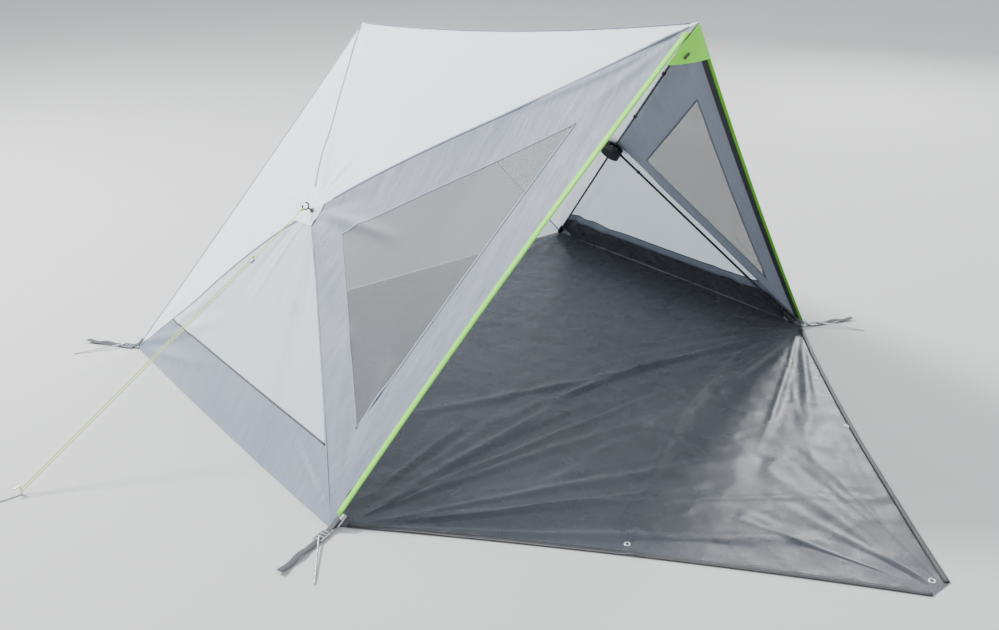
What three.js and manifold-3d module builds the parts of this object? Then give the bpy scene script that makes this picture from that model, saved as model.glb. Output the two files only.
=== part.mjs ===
// Beach shelter on two sprung hubs: a ridge tent with an open front, a groundsheet, and a porch
// flap that is also its door. Each sloping side is a shallow four-faced pyramid pushed out by a
// hub, from which four poles run to the corners of that side.
// Millimetres, +Z up. The origin is the middle of the groundsheet, on the ground. The open front
// faces -Y, the ridge runs along Y, and left is -X.
import * as THREE from "three";
import { mergeVertices } from "three/addons/utils/BufferGeometryUtils.js";
import Module from "manifold-3d";

const wasm = await Module();
wasm.setup();

// ---- driving dimensions ----

const floorWidth = 2100;
const floorDepth = 1430;
const frontApexHeight = 1260;
const frontApexOverhang = 240; // how far the front apex stands ahead of the front ground line
const rearApexHeight = 1085;
const rearApexOverhang = 10;

const hubOut = 670; // from the middle plane to the outermost point of a side
const hubHeight = 645;
const hubBehindMiddle = -20;

const clothThickness = 2.5;
const creaseGap = 3; // kept free at a crease, where two panels lean together
const seamGap = 0.2; // kept free along a flat seam
const skirtHeight = 150;
const upperBand = 133; // grey band under the roof seam
const frontBand = 132; // grey band behind the front edge
const lowerBand = 108; // grey band over the crease down to the front foot
const bindingWidth = 20;
const bindingThickness = 5;
const apexPatchDrop = 105; // how far the apex patch comes down the opening

const groundsheetThickness = 3;
const groundsheetInset = 8;
const doorHalfWidth = 1030;
const doorLength = 1155;
const doorTipHalfWidth = 40;
const doorHingeGap = 1;

const poleDiameter = 9;
const poleBoreClearance = 3; // bore less pole, so that a tip can rock as the hub goes in
const socketWall = 5;
const socketLength = 60;
const cornerDepth = 16; // of a pole's line inside the crease, at its corner
const apexSetback = 46; // from an apex back to the bottom of each bore there
const footClearance = 5; // from the groundsheet up to the lowest edge of a foot
const socketRing = 10; // the closed round part of a bore, below the side that is left open
const tipRun = 16; // how much deeper a tip can go
const eyeLength = 20;
const eyeThickness = poleDiameter;

const hubRadius = 40;
const hubPeakRoom = 10; // how far the cloth falls away from its peak over the hub's rim
const hubCapThickness = 6;
const hubCapStep = 2; // the cap's radius less than the body's
const hubSlot = poleDiameter + 5; // room for the poles' eyes between the cap and the body
const hubBodyThickness = 20;
const hubBossRadius = 14;
const ringRadius = 27;
const ringWire = 4; // diameter
const ringClearance = 0.3;
const hubRibWidth = 5;

const patchReach = { frontApex: 55, frontFoot: 65, rearFoot: 75, rearApex: 105 };
const patchGap = 1.5;

const zipParking = 40; // along the edge from the foot to the parked slider
const zipLength = 16;
const zipWidth = 11;
const zipThickness = 7;
const zipPull = 22; // how far the pull hangs down
const zipPullWidth = 6;
const zipPullThickness = 2;
const zipBridge = 4; // height of the bridge that the pull hangs on
const zipBridgeWidth = 3;
const zipGap = 1;

const webbingWidth = 20;
const webbingThickness = 1.6;
const strapStart = 20; // from the corner out to the buckle
const strapTail = 150;
const frontStrapTurn = 22; // degrees that a strap points ahead of straight out
const rearStrapTurn = -53;
const buckleBar = 4;
const buckleWindow = 8;
const buckleRail = 3;
const buckleThickness = 4;
const buckleLift = 5; // its underside above the ground, with the webbing passing beneath
const pegWindow = 10;

const pegDiameter = 5;
const pegLength = 180;
const pegHook = 8; // how far its end turns down
const pegTurn = 35; // degrees that a corner peg lies off the line of its strap

const guyDiameter = 3.2;
const guySpacing = 13; // between the two strands
const guySliderAt = [-890.6, -19, 530.2];
const guyPegAt = [-1655, -19, 0];
const guySliderLength = 14;
const guySliderThickness = 7;
const guySliderWall = 3.5;
const guyHoleClearance = 1;
const guyPegRiser = 30;
const guyPegCrook = 16; // the bent-over top of the peg
const guyPegCrookDrop = guyPegCrook / 3;
const hookRadius = 11;
const hookWire = 5;
const hookNeck = 14;
const hookFootRadius = 9;
const hookFootHeight = 4;
const hookSweep = 290; // degrees of the open ring
const hookMouth = 20; // degrees from straight out round to the start of the ring
const hookSteps = 12;

// The guy line as one cord: from the hook through the slider, round the peg, and back to it.
const guyRoute = [
  [-704.5, -19, 655.9],
  [-740, -19.3, 631.9],
  [-780, -20.8, 604.9],
  [-820, -23.6, 577.9],
  [-850, -25.2, 557.6],
  [-872, -25.5, 542.8],
  [-890.6, -25.5, 530.2],
  [-910, -25.5, 517.1],
  [-1000, -25.5, 456.3],
  [-1150, -25.5, 355.0],
  [-1300, -25.5, 253.7],
  [-1450, -25.5, 152.4],
  [-1580, -25.5, 64.6],
  [-1640, -25.5, 24.1],
  [-1650, -25.5, 17.6],
  [-1655, -25.5, 14.6],
  [-1659.6, -23.6, 12.8],
  [-1661.5, -19, 12.4],
  [-1659.6, -14.4, 12.8],
  [-1655, -12.5, 14.6],
  [-1650, -12.5, 17.6],
  [-1640, -12.5, 24.1],
  [-1580, -12.5, 64.6],
  [-1450, -12.5, 152.4],
  [-1300, -12.5, 253.7],
  [-1150, -12.5, 355.0],
  [-1000, -12.5, 456.3],
  [-910, -12.5, 517.1],
  [-880.6, -12.5, 537.0],
];

// ---- small tools ----

const v3 = (x, y, z) => new THREE.Vector3(x, y, z);
const up = v3(0, 0, 1);
const degrees = Math.PI / 180;
const shelter = new THREE.Group();

const along = (from, to, distance) =>
  to.clone().sub(from).setLength(distance).add(from);

// A closed geometry as a solid, and back.
function solid(geometry) {
  const bare = new THREE.BufferGeometry();
  bare.setAttribute("position", geometry.getAttribute("position"));
  bare.setIndex(geometry.getIndex());
  const merged = mergeVertices(bare, 1e-4);
  return new wasm.Manifold(
    new wasm.Mesh({
      numProp: 3,
      vertProperties: merged.attributes.position.array,
      triVerts: new Uint32Array(merged.index.array),
    }),
  );
}

function geometryOf(made) {
  const mesh = made.getMesh();
  return new THREE.BufferGeometry()
    .setAttribute("position", new THREE.BufferAttribute(mesh.vertProperties, 3))
    .setIndex(new THREE.BufferAttribute(mesh.triVerts, 1));
}

const joined = (geometries) =>
  geometries.map(solid).reduce((all, next) => all.add(next));

const cut = (base, tools) =>
  geometryOf(tools.map(solid).reduce((left, tool) => left.subtract(tool), base));

// A frame whose +Z runs along axis; +X leans towards hint.
function frameAt(origin, axis, hint) {
  const z = axis.clone().normalize();
  const x = hint.clone().addScaledVector(z, -hint.dot(z)).normalize();
  const y = z.clone().cross(x);
  return new THREE.Matrix4().makeBasis(x, y, z).setPosition(origin);
}

const anyAcross = (axis) => (Math.abs(axis.x) < 0.9 ? v3(1, 0, 0) : v3(0, 1, 0));

// A round bar between two points.
const thinSides = 10; // flats round a pole or a rod
const fittingSides = 12;
const bossSides = 16;
const hubSides = 28;
const tubeSides = 6; // flats round a bent ring
const ringSteps = 24;
const rodSides = 8;
const rodSteps = 16; // pieces of a bent rod along its length
function bar(from, to, radius, sides = thinSides) {
  const axis = to.clone().sub(from);
  const length = axis.length();
  const geometry = new THREE.CylinderGeometry(radius, radius, length, sides);
  geometry.rotateX(Math.PI / 2).translate(0, 0, length / 2);
  return geometry.applyMatrix4(frameAt(from, axis, anyAcross(axis)));
}

// The round elbow where two rods of the same thickness meet.
function ball(at, radius) {
  return new THREE.SphereGeometry(radius, rodSides, tubeSides).translate(at.x, at.y, at.z);
}

// A box along axis, centred across it: its width runs along the hint, its height across both.
function block(origin, axis, hint, length, width, height) {
  const geometry = new THREE.BoxGeometry(width, height, length).translate(0, 0, length / 2);
  return geometry.applyMatrix4(frameAt(origin, axis, hint));
}

// A convex outline with each side moved in by its own amount.
function inset(outline, amounts) {
  const count = outline.length;
  const lines = outline.map((point, i) => {
    const next = outline[(i + 1) % count];
    const way = next.clone().sub(point).normalize();
    const inward = new THREE.Vector2(-way.y, way.x);
    return { point: point.clone().addScaledVector(inward, amounts[i]), way };
  });
  return lines.map((line, i) => {
    const before = lines[(i + count - 1) % count];
    const gap = line.point.clone().sub(before.point);
    const distance = gap.cross(line.way) / before.way.cross(line.way);
    return before.point.clone().addScaledVector(before.way, distance);
  });
}

// A flat panel of cloth: its outer face has the given corners, less insets[i] along the side
// from corner i to corner i + 1, and its thickness goes away from the outward direction.
function panel(corners, insets, outward, thickness = clothThickness, opening = null) {
  const [first, second, third] = corners;
  const normal = second.clone().sub(first).cross(third.clone().sub(first)).normalize();
  const turned = normal.dot(outward) < 0;
  const outerNormal = turned ? normal.negate() : normal;
  const place = frameAt(first, outerNormal, second.clone().sub(first));
  const back = place.clone().invert();
  const flat = (point) => {
    const local = point.clone().applyMatrix4(back);
    return new THREE.Vector2(local.x, local.y);
  };
  const ordered = corners.map(flat);
  // Sides keep their insets when the corners are taken the other way round.
  const sides = turned ? insets.slice(0, -1).reverse().concat(insets.at(-1)) : insets;
  if (turned) ordered.reverse();
  const shape = new THREE.Shape(inset(ordered, sides));
  if (opening) shape.holes.push(new THREE.Path(opening.map(flat)));
  const geometry = new THREE.ExtrudeGeometry(shape, { depth: thickness, bevelEnabled: false });
  return geometry.translate(0, 0, -thickness).applyMatrix4(place);
}

function add(name, geometry, look) {
  const mesh = new THREE.Mesh(geometry, new THREE.MeshStandardMaterial(look));
  mesh.name = name;
  shelter.add(mesh);
}

// ---- finishes ----

const roofCloth = { color: 0xf3f6fb, roughness: 0.6, metalness: 0 };
const wallCloth = { color: 0xdfe4ec, roughness: 0.6, metalness: 0 };
const greyCloth = { color: 0xaeb6c4, roughness: 0.6, metalness: 0 };
const meshCloth = { color: 0x6f7479, roughness: 0.8, metalness: 0 };
const limeCloth = { color: 0x7fe63a, roughness: 0.55, metalness: 0 };
const sheetCloth = { color: 0x4a4e57, roughness: 0.35, metalness: 0 };
const blackPlastic = { color: 0x17181a, roughness: 0.5, metalness: 0 };
const blackPole = { color: 0x101113, roughness: 0.35, metalness: 0 };
const greyWebbing = { color: 0x55585f, roughness: 0.85, metalness: 0 };
const greyPlastic = { color: 0x70747c, roughness: 0.5, metalness: 0 };
const steel = { color: 0xb9bcc0, roughness: 0.3, metalness: 0.9 };
const paleCord = { color: 0xe6f0c4, roughness: 0.8, metalness: 0 };

// ---- corners of the shelter ----

const halfDepth = floorDepth / 2;
const frontApex = v3(0, -halfDepth - frontApexOverhang, frontApexHeight);
const rearApex = v3(0, halfDepth + rearApexOverhang, rearApexHeight);

// One sloping side: its corners, its hub, and the direction in which the hub is pushed.
function sideOf(name, sign) {
  const corners = {
    frontApex,
    frontFoot: v3((sign * floorWidth) / 2, -halfDepth, 0),
    rearFoot: v3((sign * floorWidth) / 2, halfDepth, 0),
    rearApex,
  };
  const hub = v3(sign * hubOut, hubBehindMiddle, hubHeight);
  const upDiagonal = rearApex.clone().sub(corners.frontFoot);
  const downDiagonal = frontApex.clone().sub(corners.rearFoot);
  const inward = upDiagonal.cross(downDiagonal).normalize();
  if (inward.x * sign > 0) inward.negate();
  return { name, sign, corners, hub, inward, outward: inward.clone().negate() };
}

const left = sideOf("left", -1);
const right = sideOf("right", 1);
const sides = [left, right];
const cornerNames = ["frontApex", "frontFoot", "rearFoot", "rearApex"];
const spoken = {
  frontApex: "front_apex",
  frontFoot: "front_foot",
  rearFoot: "rear_foot",
  rearApex: "rear_apex",
};

// ---- canopy ----

// Where the panels of a side stop short of the hub patch, on the crease to one corner.
const patchEdge = (side, corner) =>
  along(side.hub, side.corners[corner], patchReach[corner] + patchGap);

// The point at a given height on a line that rises from low to high.
function atHeight(low, high, height) {
  return low.clone().lerp(high, (height - low.z) / (high.z - low.z));
}

for (const side of sides) {
  const { name, hub, corners, outward } = side;
  const { frontFoot, rearFoot } = corners;

  add(
    name + "_roof_panel",
    panel(
      [patchEdge(side, "frontApex"), frontApex, rearApex, patchEdge(side, "rearApex")],
      [creaseGap, creaseGap, creaseGap, creaseGap],
      outward,
    ),
    roofCloth,
  );

  add(
    name + "_rear_panel",
    panel(
      [patchEdge(side, "rearApex"), rearApex, rearFoot, patchEdge(side, "rearFoot")],
      [creaseGap, creaseGap, creaseGap, creaseGap],
      outward,
    ),
    wallCloth,
  );

  const skirtRear = atHeight(rearFoot, hub, skirtHeight);
  const skirtFront = atHeight(frontFoot, hub, skirtHeight);
  add(
    name + "_lower_panel",
    panel(
      [patchEdge(side, "rearFoot"), skirtRear, skirtFront, patchEdge(side, "frontFoot")],
      [creaseGap, seamGap, creaseGap, creaseGap],
      outward,
    ),
    wallCloth,
  );
  add(
    name + "_skirt",
    panel(
      [skirtRear, rearFoot, frontFoot, skirtFront],
      [creaseGap, creaseGap, creaseGap, seamGap],
      outward,
    ),
    greyCloth,
  );

  // The front face is a grey frame round a mesh window, with a lime binding on its free edge.
  const face = [hub, frontFoot, frontApex];
  const faceNormal = frontFoot.clone().sub(hub).cross(frontApex.clone().sub(hub)).normalize();
  const facePlace = frameAt(hub, faceNormal, frontFoot.clone().sub(hub));
  const flatFace = face.map((point) => {
    const local = point.clone().applyMatrix4(facePlace.clone().invert());
    return new THREE.Vector2(local.x, local.y);
  });
  const window = inset(flatFace, [lowerBand, frontBand, upperBand]).map((point) =>
    v3(point.x, point.y, 0).applyMatrix4(facePlace),
  );
  add(
    name + "_front_band",
    panel(
      [patchEdge(side, "frontFoot"), frontFoot, frontApex, patchEdge(side, "frontApex")],
      [creaseGap, bindingWidth + seamGap, creaseGap, creaseGap],
      outward,
      clothThickness,
      window,
    ),
    greyCloth,
  );
  add(
    name + "_mesh_window",
    panel(window, [seamGap, seamGap, seamGap], outward),
    meshCloth,
  );

  const edgeAxis = frontApex.clone().sub(frontFoot).normalize();
  const intoFace = hub.clone().sub(frontFoot);
  intoFace.addScaledVector(edgeAxis, -intoFace.dot(edgeAxis)).normalize();
  const bindingStart = 20; // clear of the skirt and the ground at the foot
  const bindingEnd = 22; // clear of the other side's binding at the apex
  add(
    name + "_front_binding",
    block(
      along(frontFoot, frontApex, bindingStart).addScaledVector(intoFace, bindingWidth / 2),
      edgeAxis,
      intoFace,
      frontFoot.distanceTo(frontApex) - bindingStart - bindingEnd,
      bindingWidth - seamGap,
      bindingThickness,
    ),
    limeCloth,
  );

  // Hub patch: a small pyramid of doubled cloth that rides on the hub.
  const patchCorners = cornerNames.map((corner) =>
    along(hub, corners[corner], patchReach[corner]),
  );
  add(name + "_hub_patch", pyramidShell(hub, patchCorners, side.inward), roofCloth);
}

// A thin shell with one peak and four corners, its thickness along the inward direction.
function pyramidShell(peak, corners, inward) {
  const outer = [peak, ...corners];
  const inner = outer.map((point) => point.clone().addScaledVector(inward, clothThickness));
  const points = [...outer, ...inner];
  const innerStart = outer.length;
  const triangles = [];
  corners.forEach((corner, i) => {
    const a = 1 + i;
    const b = 1 + ((i + 1) % corners.length);
    triangles.push([0, a, b]);
    triangles.push([innerStart, innerStart + b, innerStart + a]);
    triangles.push([a, innerStart + a, innerStart + b]);
    triangles.push([a, innerStart + b, b]);
  });
  const faceNormal = corners[0].clone().sub(peak).cross(corners[1].clone().sub(peak));
  const facesOut = faceNormal.dot(inward) < 0;
  const geometry = new THREE.BufferGeometry().setFromPoints(points);
  return geometry.setIndex(triangles.flatMap((t) => (facesOut ? t : [t[0], t[2], t[1]])));
}

// Rear wall, from the rear apex to the two rear feet.
add(
  "rear_wall",
  panel(
    [rearApex, left.corners.rearFoot, right.corners.rearFoot],
    [creaseGap, creaseGap, creaseGap],
    v3(0, 1, 0),
  ),
  wallCloth,
);

// Apex patch: closes the top of the opening.
{
  const drop = apexPatchDrop / (frontApex.distanceTo(v3(0, -halfDepth, 0)));
  const patchLow = sides.map((side) => frontApex.clone().lerp(side.corners.frontFoot, drop));
  add(
    "apex_patch",
    panel(
      [frontApex, ...patchLow],
      [bindingThickness, 0, bindingThickness],
      v3(0, -1, 0),
    ).translate(0, -bindingThickness, 0),
    limeCloth,
  );
}

// ---- groundsheet and porch door ----

{
  const x = floorWidth / 2 - groundsheetInset;
  const rear = halfDepth - groundsheetInset;
  add(
    "groundsheet",
    panel(
      [v3(-x, -halfDepth, groundsheetThickness), v3(x, -halfDepth, groundsheetThickness),
        v3(x, rear, groundsheetThickness), v3(-x, rear, groundsheetThickness)],
      [doorHingeGap + groundsheetThickness / 2, 0, 0, 0],
      up,
      groundsheetThickness,
    ),
    sheetCloth,
  );
  const tip = -halfDepth - doorLength;
  add(
    "porch_door",
    panel(
      [v3(doorHalfWidth, -halfDepth, groundsheetThickness),
        v3(-doorHalfWidth, -halfDepth, groundsheetThickness),
        v3(-doorTipHalfWidth, tip, groundsheetThickness),
        v3(doorTipHalfWidth, tip, groundsheetThickness)],
      [doorHingeGap + groundsheetThickness / 2, 0, 0, 0],
      up,
      groundsheetThickness,
    ),
    sheetCloth,
  );
}

// ---- hubs and poles ----

const poleRadius = poleDiameter / 2;
const boreRadius = poleRadius + poleBoreClearance / 2;
const socketRadius = boreRadius + socketWall;
const capDepth = clothThickness + hubPeakRoom; // from the peak of the cloth in to the cap
const slotDepth = capDepth + hubCapThickness;
const pivotDepth = slotDepth + hubSlot / 2;
const bodyDepth = slotDepth + hubSlot;

// The straight line of one pole: where it pivots on the hub ring, and where it points.
function poleLine(side, corner) {
  const target = side.corners[corner].clone().addScaledVector(side.inward, cornerDepth);
  const centre = side.hub.clone().addScaledVector(side.inward, pivotDepth);
  const radial = target.clone().sub(centre);
  radial.addScaledVector(side.inward, -radial.dot(side.inward)).normalize();
  const pivot = centre.clone().addScaledVector(radial, ringRadius);
  const axis = target.clone().sub(pivot).normalize();
  return { pivot, target, radial, axis, setback: boreSetback(corner, target, axis) };
}

// From a corner back along the pole's line to the bottom of its bore. At a foot, the closed end
// of the socket clears the groundsheet.
function boreSetback(corner, target, axis) {
  if (corner.endsWith("Apex")) return apexSetback;
  const rim = socketRadius * Math.sqrt(1 - axis.z ** 2);
  const rise = groundsheetThickness + footClearance + rim - target.z;
  return socketWall + rise / -axis.z;
}

// The socket that a pole's tip runs in: its outside, and a bore that is open to the inside of the
// shelter along most of its length, which is the way the pole leans when its hub goes in.
function socket(side, corner) {
  const line = side.lines[corner];
  const bottom = line.target.clone().addScaledVector(line.axis, -line.setback);
  const closed = bottom.clone().addScaledVector(line.axis, socketWall);
  const mouth = closed.clone().addScaledVector(line.axis, -socketLength);
  const beyond = mouth.clone().addScaledVector(line.axis, -1);
  const slotHeight = socketRadius + 1;
  const slotStart = bottom
    .clone()
    .addScaledVector(line.axis, -socketRing)
    .addScaledVector(side.inward, slotHeight / 2);
  const backwards = line.axis.clone().negate();
  const slot = block(slotStart, backwards, side.inward, socketLength, 2 * boreRadius, slotHeight);
  return {
    body: bar(mouth, closed, socketRadius, fittingSides),
    bores: [bar(beyond, bottom, boreRadius, fittingSides), slot],
  };
}

for (const side of sides) {
  const { name, hub, inward } = side;
  const lines = Object.fromEntries(cornerNames.map((corner) => [corner, poleLine(side, corner)]));
  side.lines = lines;
  const centreAt = (depth) => hub.clone().addScaledVector(inward, depth);
  const ring = new THREE.TorusGeometry(ringRadius, ringWire / 2, tubeSides, ringSteps);
  const ringPlace = frameAt(centreAt(pivotDepth), inward, up);
  add(name + "_hub_ring", ring.applyMatrix4(ringPlace), steel);

  add(
    name + "_hub_cap",
    bar(centreAt(capDepth), centreAt(slotDepth), hubRadius - hubCapStep, hubSides),
    blackPlastic,
  );

  // Body: a round block with a boss up to the cap, and ribs between the poles that hold the ring.
  const boss = bar(centreAt(slotDepth + seamGap), centreAt(bodyDepth + 1), hubBossRadius, bossSides);
  const disc = bar(centreAt(bodyDepth), centreAt(bodyDepth + hubBodyThickness), hubRadius, hubSides);
  const ribs = cornerNames.map((corner, i) => {
    const here = lines[corner].radial;
    const next = lines[cornerNames[(i + 1) % cornerNames.length]].radial;
    const between = here.clone().add(next).normalize();
    return block(
      centreAt(bodyDepth - (hubSlot - 2 * seamGap) / 2),
      between,
      inward,
      hubRadius - hubCapStep,
      hubRibWidth,
      hubSlot - 2 * seamGap,
    );
  });
  const ringRoom = new THREE.TorusGeometry(ringRadius, ringWire / 2 + ringClearance, tubeSides, ringSteps);
  add(
    name + "_hub_body",
    cut(joined([disc, boss, ...ribs]), [ringRoom.applyMatrix4(ringPlace)]),
    blackPlastic,
  );

  // Poles: a rod with a moulded eye that turns on the ring.
  for (const corner of cornerNames) {
    const line = lines[corner];
    const tip = line.target.clone().addScaledVector(line.axis, -line.setback - tipRun);
    const across = line.axis.clone().cross(inward).normalize();
    const eyeStart = line.pivot.clone().addScaledVector(line.axis, -eyeThickness / 2);
    const eye = block(eyeStart, line.axis, inward, eyeLength, eyeThickness, eyeThickness);
    const rodStart = line.pivot.clone().addScaledVector(line.axis, eyeLength / 2);
    const eyeBore = bar(
      line.pivot.clone().addScaledVector(across, -eyeThickness),
      line.pivot.clone().addScaledVector(across, eyeThickness),
      ringWire / 2 + 1,
      10,
    );
    add(
      name + "_" + spoken[corner] + "_pole",
      cut(joined([bar(rodStart, tip, poleRadius), eye]), [eyeBore]),
      blackPole,
    );
  }

  for (const corner of ["frontFoot", "rearFoot"]) {
    const { body, bores } = socket(side, corner);
    add(name + "_" + spoken[corner], cut(solid(body), bores), blackPlastic);
  }
}

// Apex fittings: two sockets on one bridge just past their closed ends, under the ridge.
for (const corner of ["frontApex", "rearApex"]) {
  const sockets = sides.map((side) => socket(side, corner));
  const ends = sides.map((side) => {
    const { target, axis, setback } = side.lines[corner];
    return target.clone().addScaledVector(axis, socketRadius - setback);
  });
  const bridge = bar(ends[0], ends[1], socketRadius, fittingSides);
  add(
    spoken[corner] + "_fitting",
    cut(
      joined([...sockets.map((s) => s.body), bridge]),
      sockets.flatMap((s) => s.bores),
    ),
    blackPlastic,
  );
}

// ---- zip sliders, parked at the feet of the opening ----

for (const side of sides) {
  const { frontFoot } = side.corners;
  const edgeAxis = frontApex.clone().sub(frontFoot).normalize();
  const forward = v3(0, -1, 0);
  forward.addScaledVector(edgeAxis, -forward.dot(edgeAxis)).normalize();
  const start = along(frontFoot, frontApex, zipParking);
  const middle = start.clone().addScaledVector(forward, bindingThickness / 2 + zipGap);
  const at = (out, up) =>
    middle.clone().addScaledVector(forward, out).addScaledVector(edgeAxis, up);
  const body = block(at(zipThickness / 2, 0), edgeAxis, forward, zipLength, zipThickness, zipWidth);
  const bridge = block(
    at(zipThickness, zipBridge),
    edgeAxis,
    forward,
    zipLength - 2 * zipBridge,
    zipBridge,
    zipBridgeWidth,
  );
  const pull = block(
    at(zipThickness + zipPullThickness, -zipPull),
    edgeAxis,
    forward,
    zipPull + zipPullWidth,
    zipPullThickness,
    zipPullWidth,
  );
  add(side.name + "_zip_slider", geometryOf(joined([body, bridge, pull])), steel);
}

// ---- corner straps, ladder-lock buckles and pegs ----

// A ribbon's outline about a line of points in the plane.
function ribbon(points, thickness) {
  const count = points.length;
  const edge = (sign) =>
    points.map((point, i) => {
      const before = points[Math.max(i - 1, 0)];
      const after = points[Math.min(i + 1, count - 1)];
      const way = after.clone().sub(before).normalize();
      return point.clone().add(new THREE.Vector2(-way.y, way.x).multiplyScalar(sign));
    });
  return new THREE.Shape([...edge(thickness / 2), ...edge(-thickness / 2).reverse()]);
}

const innerBar = strapStart;
const firstWindow = innerBar + buckleBar;
const middleBar = firstWindow + buckleWindow;
const secondWindow = middleBar + buckleBar;
const outerBar = secondWindow + buckleWindow;
const pegOpening = outerBar + buckleBar;
const endBar = pegOpening + pegWindow;
const buckleEnd = endBar + buckleBar;
const buckleTop = buckleLift + buckleThickness;
const strapGap = 0.6; // between the webbing's face and a bar
const underBar = buckleLift - strapGap - webbingThickness / 2;
const overBar = buckleTop + strapGap + webbingThickness / 2;
const onGround = webbingThickness / 2 + seamGap;

// The webbing rises through the first window, crosses the middle bar and goes down again.
const strapTurn = 1; // run of the webbing past a bar's edge before it bends
const strapRoot = 4; // from the corner out to where the webbing leaves the seam
const strapRise = 3;
const strapRoute = [
  [strapRoot, underBar + strapRise],
  [innerBar, underBar],
  [firstWindow + strapTurn, underBar],
  [middleBar - strapTurn, overBar],
  [secondWindow + strapTurn, overBar],
  [outerBar - strapTurn, underBar],
  [outerBar + strapTurn, underBar - seamGap],
  [pegOpening + buckleBar, onGround],
  [buckleEnd + strapTail, onGround],
].map(([x, y]) => new THREE.Vector2(x, y));

function buckleGeometry() {
  const clearWidth = webbingWidth + 2;
  const slab = (from, to, width, height) =>
    new THREE.BoxGeometry(to - from, width, height).translate(
      (from + to) / 2,
      0,
      buckleLift + buckleThickness / 2,
    );
  const frame = slab(innerBar, buckleEnd, clearWidth + 2 * buckleRail, buckleThickness);
  const windows = [
    [firstWindow, middleBar],
    [secondWindow, outerBar],
    [pegOpening, endBar],
  ].map(([from, to]) => slab(from, to, clearWidth, 2 * buckleThickness));
  return cut(solid(frame), windows);
}

// A corner peg lies on the ground, with its end turned down into the buckle's outer window.
function cornerPegGeometry(lean) {
  const radius = pegDiameter / 2;
  const x = (pegOpening + endBar) / 2;
  const top = v3(x, 0, buckleTop + strapGap + radius);
  const low = v3(x, 0, top.z - pegHook);
  const drop = top.z - radius - seamGap;
  const reach = Math.sqrt(pegLength ** 2 - drop ** 2);
  const far = v3(
    x + reach * Math.cos(pegTurn * degrees),
    lean * reach * Math.sin(pegTurn * degrees),
    radius + seamGap,
  );
  return geometryOf(joined([bar(low, top, radius), bar(top, far, radius), ball(top, radius)]));
}

for (const side of sides) {
  for (const [corner, spokenCorner, turn] of [
    ["frontFoot", "front", frontStrapTurn],
    ["rearFoot", "rear", rearStrapTurn],
  ]) {
    const outward = side.sign < 0 ? 180 + turn : -turn;
    const place = new THREE.Matrix4()
      .makeRotationZ(outward * degrees)
      .setPosition(side.corners[corner]);
    const label = side.name + "_" + spokenCorner;
    const webbing = new THREE.ExtrudeGeometry(ribbon(strapRoute, webbingThickness), {
      depth: webbingWidth,
      bevelEnabled: false,
    });
    webbing.rotateX(Math.PI / 2).translate(0, webbingWidth / 2, 0);
    add(label + "_strap", webbing.applyMatrix4(place), greyWebbing);
    add(label + "_buckle", buckleGeometry().applyMatrix4(place), greyPlastic);
    add(label + "_peg", cornerPegGeometry(side.sign * -1).applyMatrix4(place), steel);
  }
}

// ---- guy hooks, and the left guy line with its slider and peg ----

// A round rod swept along a curve.
function rod(curve, radius, steps) {
  const round = new THREE.Shape();
  for (let i = 0; i < rodSides; i += 1) {
    const angle = (2 * Math.PI * i) / rodSides;
    const [x, y] = [radius * Math.cos(angle), radius * Math.sin(angle)];
    if (i === 0) round.moveTo(x, y);
    else round.lineTo(x, y);
  }
  return new THREE.ExtrudeGeometry(round, { steps, extrudePath: curve, bevelEnabled: false });
}

function hookCentre(side) {
  const reach = seamGap + hookFootHeight + hookNeck + hookRadius;
  return side.hub.clone().addScaledVector(side.outward, reach);
}

for (const side of sides) {
  const { hub, outward, sign } = side;
  const foot = hub.clone().addScaledVector(outward, seamGap);
  const shoulder = foot.clone().addScaledVector(outward, hookFootHeight);
  const centre = hookCentre(side);
  const neckEnd = centre.clone().addScaledVector(outward, -hookRadius + hookWire / 4);
  // The open ring stands in the upright plane across the ridge, its mouth facing up and out.
  const arc = new THREE.CatmullRomCurve3(
    Array.from({ length: hookSteps + 1 }, (_, i) => {
      const angle = (hookMouth + (i / hookSteps) * hookSweep) * degrees;
      const across = v3(0, 1, 0).cross(outward).multiplyScalar(sign);
      return centre
        .clone()
        .addScaledVector(outward, hookRadius * Math.cos(angle))
        .addScaledVector(across, hookRadius * Math.sin(angle));
    }),
  );
  add(
    side.name + "_guy_hook",
    geometryOf(
      joined([
        bar(foot, shoulder, hookFootRadius, bossSides),
        bar(shoulder.clone().addScaledVector(outward, -1), neckEnd, hookWire / 2),
        rod(arc, hookWire / 2, rodSteps),
      ]),
    ),
    blackPlastic,
  );
}

// A smooth curve stepped evenly by its points, so that a tight turn keeps its steps.
class RouteCurve extends THREE.CatmullRomCurve3 {
  getPointAt(u, target) {
    return this.getPoint(u, target);
  }

  getTangentAt(u, target) {
    return this.getTangent(u, target);
  }
}

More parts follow.
